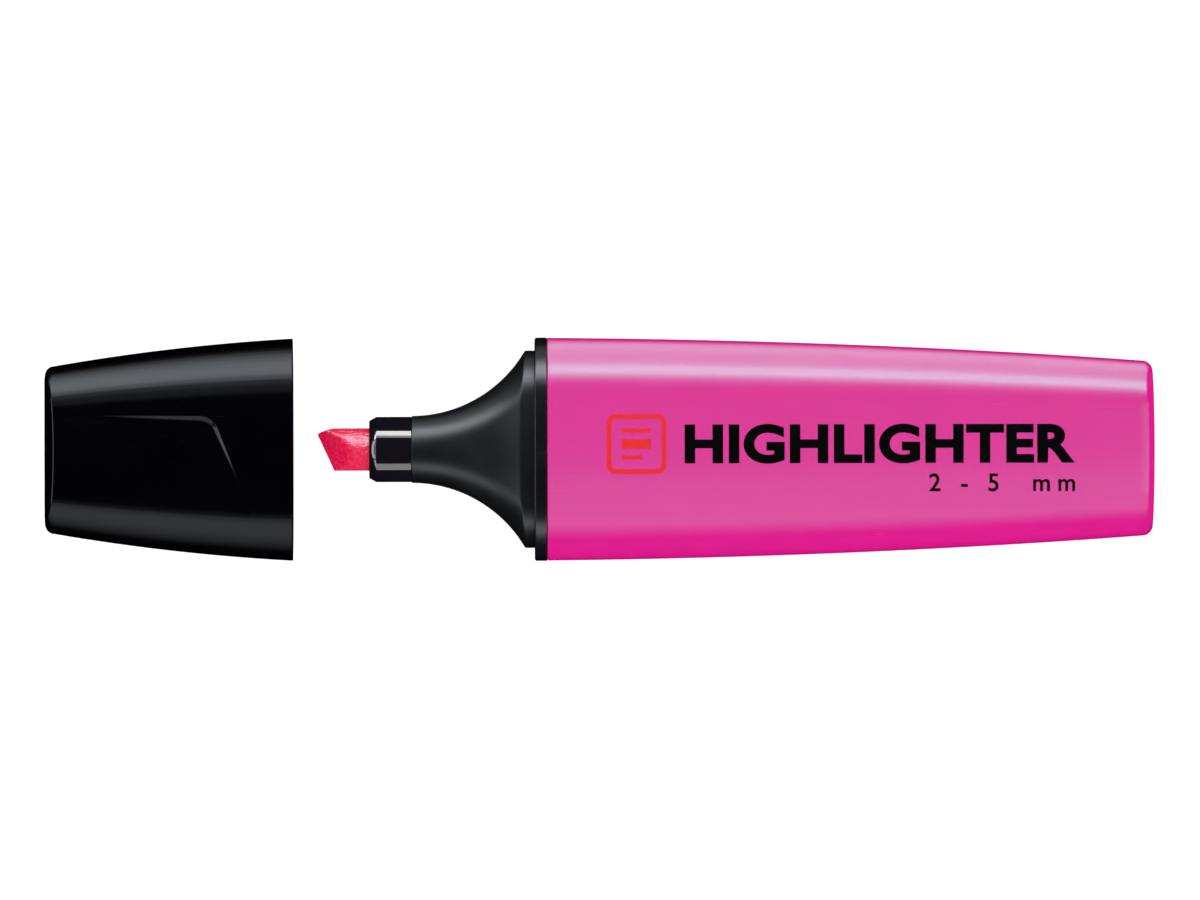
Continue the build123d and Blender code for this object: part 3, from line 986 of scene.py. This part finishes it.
def fibre_material(name, first, second, roughness, relief, size):
    """Bonded fibres that run along the pen's axis."""
    mat, tree, shader = new_material(name)
    strands = grain(tree, size, (7, 1, 1), 3.0)
    pits = grain(tree, size * 1.3, detail=2.0)
    both = combined(tree, "ADD", strands, pits)
    vary_color(tree, shader, spread(tree, both, 0, 1, 0.75, 1.2), second, first)
    tree.links.new(spread(tree, pits, *roughness), shader.inputs["Roughness"])
    raise_bump(tree, shader, both, relief)
    return mat, shader


def nib_material():
    mat, shader = fibre_material(
        "nib_felt",
        first=(0.80, 0.022, 0.110),
        second=(0.70, 0.002, 0.042),
        roughness=(0.22, 0.34),
        relief=0.09,
        size=0.28,
    )
    shader.inputs["Specular IOR Level"].default_value = 0.8
    # Painted glow: the felt gives off a faint red light of its own, which brightens its facets where
    # little lamp light falls.
    shader.inputs["Emission Color"].default_value = (0.95, 0.004, 0.07, 1)
    shader.inputs["Emission Strength"].default_value = 0.28
    return mat


def reservoir_material():
    mat, _ = fibre_material(
        "reservoir_fibre",
        first=(0.80, 0.06, 0.30),
        second=(0.60, 0.02, 0.16),
        roughness=(0.7, 0.9),
        relief=0.08,
        size=0.16,
    )
    return mat


def film_material():
    mat, _ = moulded_plastic(
        "reservoir_film",
        first=(0.86, 0.42, 0.60),
        second=(0.80, 0.34, 0.54),
        gloss=(0.16, 0.24),
        specular=0.5,
        relief=0.004,
        relief_size=2.5,
    )
    return mat


INK_ROUGHNESS = (0.30, 0.38)


def ink_material(name, first, second):
    """Screen-printed ink, with faint pinholes and a slightly uneven gloss."""
    mat, tree, shader = new_material(name)
    vary_color(tree, shader, spread(tree, grain(tree, 0.5, detail=3.0), 0, 1), first, second)
    tree.links.new(spread(tree, grain(tree, 0.8), *INK_ROUGHNESS), shader.inputs["Roughness"])
    raise_bump(tree, shader, grain(tree, 0.12), 0.0015)
    return mat


# --- build ------------------------------------------------------------------------------------------


def set_material(obj, mat):
    obj.data.materials.clear()
    obj.data.materials.append(mat)


def ride_as(obj, mat, body):
    set_material(obj, mat)
    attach(obj, body)


barrel_mat = barrel_plastic()
cap_mat = cap_plastic()
shells = {
    "barrel": (make_barrel(), barrel_mat, "pen", "barrel"),
    "front": (make_front_moulding(), matt_plastic(), "pen", "front_section"),
    "collar": (make_collar(), polished_plastic(), "pen", "nib_holder"),
    "nib": (make_nib(), nib_material(), "pen", "nib"),
    "cap": (make_cap(), cap_mat, "cap", "cap_shell"),
    "seal": (make_cap_seal(), seal_plastic(), "cap", "cap_inner_seal"),
}
lit_as = {group: [shell[0]] for group, shell in shells.items()}
for obj, mat, body, node in shells.values():
    ride_as(obj, mat, body)
    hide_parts(node)
for rib in make_cap_ribs():
    ride_as(rib, cap_mat, "cap")
for rib in make_barrel_ribs():
    ride_as(rib, barrel_mat, "pen")

inks = {
    "black": ink_material("print_black", (0.0016, 0.0012, 0.0026), (0.0024, 0.0016, 0.0034)),
    "red": ink_material("print_red", (0.90, 0.010, 0.012), (0.86, 0.008, 0.010)),
}
lit_as["print"] = []
for side, underside in (("front", False), ("back", True)):
    for layer, ink in make_print(side, underside):
        ride_as(layer, inks[ink], "pen")
        lit_as["print"].append(layer)

set_material(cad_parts["ink_reservoir"], reservoir_material())
set_material(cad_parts["reservoir_wrap"], film_material())

# --- stage ------------------------------------------------------------------------------------------

FLOOR_SIZE = 40.0


def make_floor():
    """Pale floor that fades to white, and doesn't show in glossy reflections."""
    corners = [(-FLOOR_SIZE, -FLOOR_SIZE, 0), (FLOOR_SIZE, -FLOOR_SIZE, 0)]
    corners += [(FLOOR_SIZE, FLOOR_SIZE, 0), (-FLOOR_SIZE, FLOOR_SIZE, 0)]
    mesh = bpy.data.meshes.new("floor")
    mesh.from_pydata(corners, [], [(0, 1, 2, 3)])
    floor = bpy.data.objects.new("floor", mesh)
    bpy.context.scene.collection.objects.link(floor)
    mat, tree, shader = new_material("floor")
    shader.inputs["Base Color"].default_value = (0.9, 0.9, 0.9, 1)
    shader.inputs["Roughness"].default_value = 0.9
    shader.inputs["Specular IOR Level"].default_value = 0.0
    shader.inputs["Emission Color"].default_value = (1, 1, 1, 1)
    shader.inputs["Emission Strength"].default_value = 0.62
    set_material(floor, mat)
    floor.visible_glossy = False


def soft_box(name, direction, distance, width, length, radiance):
    """Rectangular light that faces the pen; its length lies level, square to the light's direction."""
    data = bpy.data.lights.new(name, "AREA")
    data.shape = "RECTANGLE"
    data.size, data.size_y = length, width
    data.energy = radiance * math.pi * width * length
    light = bpy.data.objects.new(name, data)
    bpy.context.scene.collection.objects.link(light)
    towards = Vector(direction).normalized()
    light.location = towards * distance
    light.rotation_mode = "QUATERNION"
    light.rotation_quaternion = towards.to_track_quat("Z", "Y")
    light.visible_camera = False
    return light


def leaning(degrees, x_part, y_part):
    """Direction that leans that far from straight up, towards (x_part, y_part)."""
    lean = math.radians(degrees)
    return x_part * math.sin(lean), y_part * math.sin(lean), math.cos(lean)


# Metres, and degrees for the step.
STRIP_DISTANCE = 0.6
STRIP_LENGTH = 1.6
STRIP_STEP = 9.0
BACK, FRONT, LEFT, RIGHT = (0, 1), (0, -1), (-1, 0), (1, 0)
WHITE, CYAN, PALE_CYAN = (1.0, 1.0, 1.0), (0.1, 1.0, 0.93), (0.4, 0.9, 1.0)


def lit_group(groups):
    """Collection of the pieces that one set of strips lights, made once for each set."""
    name = "lit_" + "_".join(groups)
    if name not in bpy.data.collections:
        lit = bpy.data.collections.new(name)
        for obj in (obj for group in groups for obj in lit_as[group]):
            lit.objects.link(obj)
    return bpy.data.collections[name]


def strip(groups, heading, first, last, radiance, color=WHITE, length=STRIP_LENGTH):
    """Long light that draws one highlight on the named groups of pieces only.

    It spans two angles from straight up, towards a heading.
    """
    across = 2 * STRIP_DISTANCE * math.tan(math.radians((last - first) / 2))
    towards = leaning((first + last) / 2, *heading)
    light = soft_box(f"strip_{groups[0]}", towards, STRIP_DISTANCE, across, length, radiance)
    light.data.color = color
    light.visible_diffuse = False
    light.light_linking.receiver_collection = lit_group(groups)


def soft_edge(groups, heading, peak, rise, fall, color=WHITE, length=STRIP_LENGTH):
    """Neighbouring strips that make one soft band of light.

    Rise and fall are pairs of angles from straight up, towards a heading: the level climbs over the
    first pair, stays at its peak between them and dies away over the second pair.
    """
    edges = np.linspace(rise[0], fall[1], round((fall[1] - rise[0]) / STRIP_STEP) + 1)
    for first, last in zip(edges, edges[1:]):
        middle = (first + last) / 2
        level = peak * smooth_step(middle, *rise) * (1 - smooth_step(middle, *fall))
        strip(groups, heading, first, last, level, color, length)


make_floor()

soft_edge(("cap",), BACK, 4.2, (34, 60), (62, 118), length=1.2)
strip(("cap",), BACK, 20, 40, 0.3, length=1.2)
soft_edge(("cap",), FRONT, 1.1, (32, 52), (60, 120))

soft_edge(("front",), BACK, 6.8, (34, 54), (60, 86))
strip(("front",), BACK, 84, 114, 0.5)
soft_edge(("front",), FRONT, 2.2, (42, 54), (66, 80))

soft_edge(("barrel",), BACK, 15.0, (42, 56), (62, 80), CYAN, 0.7)
soft_edge(("barrel",), BACK, 10.0, (26, 58), (94, 150), CYAN, 0.7)
strip(("barrel",), BACK, 3, 36, 2.1, CYAN, 0.7)
soft_edge(("barrel",), FRONT, 5.0, (-12, 14), (42, 86), CYAN, 1.1)
strip(("barrel",), RIGHT, 14, 56, 4.5, CYAN, 0.4)

strip(("collar", "seal"), BACK, 50, 68, 7.0)
strip(("collar",), BACK, 42, 50, 2.0)
strip(("collar", "seal"), FRONT, 51, 77, 1.7)
strip(("collar",), LEFT, 45, 74, 0.9)

strip(("nib",), BACK, 30, 80, 7.5, PALE_CYAN, 0.7)
strip(("print",), BACK, 60, 90, 1.5)
cap_end_glow = soft_box("end", leaning(69, *LEFT), distance=0.6, width=0.20, length=0.5, radiance=2.4)
cap_end_glow.visible_diffuse = False
broad = soft_box("broad", leaning(8, *BACK), distance=1.2, width=1.2, length=1.6, radiance=0.5)
broad.visible_glossy = False

world = bpy.data.worlds.new("studio")
bpy.context.scene.world = world
world.use_nodes = True
world.cycles_visibility.glossy = False
world.node_tree.nodes["Background"].inputs["Color"].default_value = (1, 1, 1, 1)
camera_ray = world.node_tree.nodes.new("ShaderNodeLightPath").outputs["Is Camera Ray"]
sky_level = spread(world.node_tree, camera_ray, 0.85, 1.0, 0.0, 1.0)
world.node_tree.links.new(sky_level, world.node_tree.nodes["Background"].inputs["Strength"])

bpy.context.scene.view_settings.view_transform = "Standard"

# --- camera -----------------------------------------------------------------------------------------

FRAME_WIDTH = 145.0
CAMERA_OFFSET = (0.08, -0.11)
CAMERA_ROLL = -0.11

camera_data = bpy.data.cameras.new("camera")
camera_data.lens = 1000
camera_data.sensor_width = 36
camera = bpy.data.objects.new("camera", camera_data)
bpy.context.scene.collection.objects.link(camera)
middle = (cad_bounds[0] + cad_bounds[1]) / 2
distance = FRAME_WIDTH * MM * camera_data.lens / camera_data.sensor_width
offset = Vector((CAMERA_OFFSET[0] * MM, CAMERA_OFFSET[1] * MM, distance))
camera.location = middle + offset
camera.rotation_euler = (0, 0, math.radians(CAMERA_ROLL))
bpy.context.scene.camera = camera
